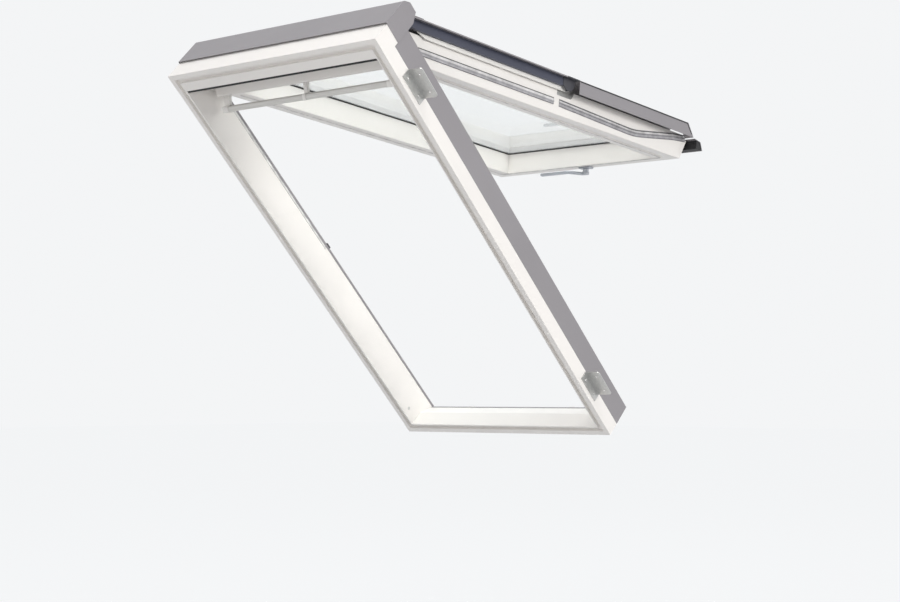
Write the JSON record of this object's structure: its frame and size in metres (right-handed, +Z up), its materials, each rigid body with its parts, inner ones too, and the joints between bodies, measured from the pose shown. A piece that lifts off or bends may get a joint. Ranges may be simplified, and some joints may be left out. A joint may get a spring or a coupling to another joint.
{
  "type": "roof window",
  "caption": "White roof window for a pitched roof, hung from its top edge and turning on side pivots, with arms, ventilation flap, control bar and handle.",
  "frame": {"origin": "middle of the flat lower side of the frame's sill, 24 mm out from the room side", "axes": "X across the window to the right seen from the room, Z up, Y level and outwards from the room; the window lies in a 45 degree roof plane, its sash lifted 39.6 degrees"},
  "size_m": [0.876, 1.4804, 1.0992],
  "materials": {
    "white_frame": "smooth white lacquer over a timber core",
    "white_plastic": "white moulded plastic",
    "glass": "clear float glass",
    "rubber": "matt black rubber",
    "side_seal": "grey silicone lip seal",
    "spacer": "matt grey aluminium",
    "bar_aluminium": "satin anodised, warm grey",
    "handle_metal": "satin silver",
    "cladding": "grey coil coating, satin",
    "light_paint": "light paint on sheet steel",
    "arm_steel": "dark blue-grey paint",
    "dark_plastic": "dark moulded plastic",
    "grey_plastic": "grey plastic",
    "steel": "zinc plated"
  },
  "bodies": {
    "frame": {"arm_buffers": "rubber", "bracket_screws": "steel", "frame_head": "white_frame", "frame_left_stile": "white_frame", "frame_right_stile": "white_frame", "frame_sill": "white_frame", "head_hood": "cladding", "head_seal": "rubber", "hinge_pins": "steel", "hood_ends": "cladding", "left_hinge_bracket": "steel", "left_stile_cladding": "cladding", "left_stile_seal": "rubber", "lower_left_bracket": "steel", "lower_right_bracket": "steel", "right_hinge_bracket": "steel", "right_stile_cladding": "cladding", "right_stile_seal": "rubber", "screw_caps": "grey_plastic", "sill_blocks": "white_plastic", "sill_cladding": "cladding", "upper_left_bracket": "steel", "upper_right_bracket": "steel"},
    "arms": {"arm_plates": "light_paint", "cross_cover": "cladding", "left_arm": "arm_steel", "left_pivot_cap": "dark_plastic", "pivot_pins": "steel", "right_arm": "arm_steel", "right_pivot_cap": "dark_plastic", "upper_left_cover": "cladding", "upper_right_cover": "cladding"},
    "sash": {"bottom_cover": "cladding", "bottom_seal": "rubber", "flap_pins": "steel", "glazing_gasket": "rubber", "handle_base": "handle_metal", "inner_pane": "glass", "left_cover_strip": "rubber", "left_hinge_plate": "steel", "lower_left_cover": "cladding", "lower_left_seal": "side_seal", "lower_right_cover": "cladding", "lower_right_seal": "side_seal", "outer_glazing_seal": "rubber", "outer_pane": "glass", "pane_spacer": "spacer", "right_cover_strip": "rubber", "right_hinge_plate": "steel", "sash_bottom_rail": "white_frame", "sash_left_rail": "white_frame", "sash_right_rail": "white_frame", "sash_top_rail": "white_frame", "upper_left_seal": "side_seal", "upper_right_seal": "side_seal"},
    "flap": {"bar_brackets": "white_plastic", "bar_end_caps": "white_plastic", "control_bar": "bar_aluminium", "vent_flap": "white_frame"},
    "handle_lever": {"handle": "handle_metal"}
  },
  "joints": [
    {"name": "sash_lift", "type": "hinge", "parent": "frame", "child": "arms", "pos_m": [0, -0.88742, 1.00056], "axis": [1, 0, 0], "range_deg": [-39.6, 5.4]},
    {"name": "sash_pivot", "type": "hinge", "parent": "arms", "child": "sash", "pos_m": [0, -0.19099, 0.98294], "axis": [1, 0, 0], "range_deg": [0, 150]},
    {"name": "flap_swing", "type": "hinge", "parent": "sash", "child": "flap", "pos_m": [0, -0.88537, 0.99032], "axis": [1, 0, 0], "range_deg": [-22.5, 5.5]},
    {"name": "handle_turn", "type": "hinge", "parent": "sash", "child": "handle_lever", "pos_m": [0.01, 0.383, 0.82823], "axis": [0, 0.0941, 0.9956], "range_deg": [0, 90]}
  ]
}
